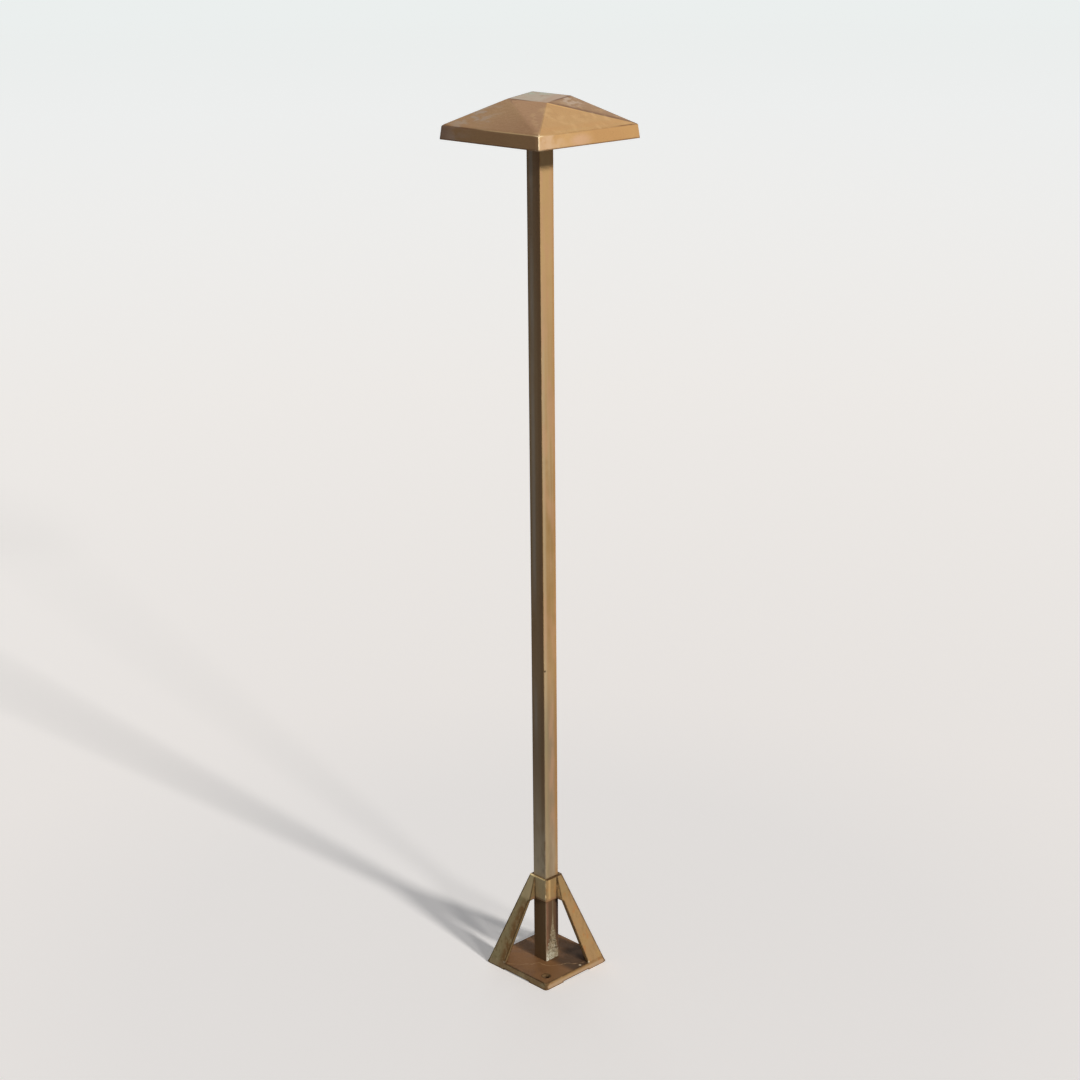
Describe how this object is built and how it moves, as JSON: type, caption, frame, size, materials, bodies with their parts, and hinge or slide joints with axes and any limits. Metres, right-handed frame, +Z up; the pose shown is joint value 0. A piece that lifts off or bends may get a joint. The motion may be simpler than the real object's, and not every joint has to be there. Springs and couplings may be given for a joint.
{
  "type": "path light",
  "caption": "Tall square-post garden path light with a faceted, twisted-top pyramid cap over a lamp and an open-cornered pyramid base.",
  "frame": {"origin": "middle of the base on the ground", "axes": "+Z up the post; +X and +Y square to the sides; the front corner with an open mounting hole is at +X -Y"},
  "size_m": [0.139, 0.139, 0.9424],
  "materials": {
    "cap_brass": "cast, aged brown-gold patina",
    "post_brass": "drawn, aged brown patina with streaks",
    "base_brass": "cast, aged olive-brown patina",
    "turned_brass": "turned, dull",
    "stainless": "turned, satin",
    "white_enamel": "satin white enamel",
    "frosted_glass": "frosted",
    "clear_glass": "clear",
    "ceramic_white": "unglazed steatite",
    "gasket_rubber": "matt silicone",
    "carrier_aluminium": "milled",
    "contact_metal": "plated spring bronze",
    "lead_insulation": "matt",
    "splice_sleeve": "satin",
    "bushing_nylon": "matt",
    "core_board": "white board",
    "chip_phosphor": "amber resin"
  },
  "bodies": {
    "root": {"post": "post_brass", "post_set_screws": "stainless", "lamp_socket": "ceramic_white", "socket_contacts": "contact_metal", "bracket_carrier": "carrier_aluminium", "socket_bracket": "stainless", "socket_screw": "stainless", "bracket_screw": "stainless", "lamp_leads": "lead_insulation", "lead_splices": "splice_sleeve", "base": "base_brass", "collar_set_screws": "stainless", "foot_block": "turned_brass", "hollow_nipple": "turned_brass", "nipple_washer": "stainless", "nipple_nut": "turned_brass", "outlet_bushing": "bushing_nylon"},
    "cap_body": {"cap": "cap_brass", "reflector": "white_enamel", "slip_collar": "turned_brass", "cap_pillars": "stainless", "glass_tube": "frosted_glass", "lower_gasket": "gasket_rubber", "upper_gasket": "gasket_rubber"},
    "lamp_body": {"lamp_base": "ceramic_white", "lamp_pins": "stainless", "lamp_globe": "clear_glass", "lamp_core": "core_board", "lamp_chips": "chip_phosphor"}
  },
  "joints": [
    {"name": "cap_lift", "type": "slide", "parent": "root", "child": "cap_body", "axis": [0, 0, 1], "range_m": [0, 0.06]},
    {"name": "lamp_pull", "type": "slide", "parent": "root", "child": "lamp_body", "axis": [0, 0, 1], "range_m": [0, 0.0072]}
  ]
}
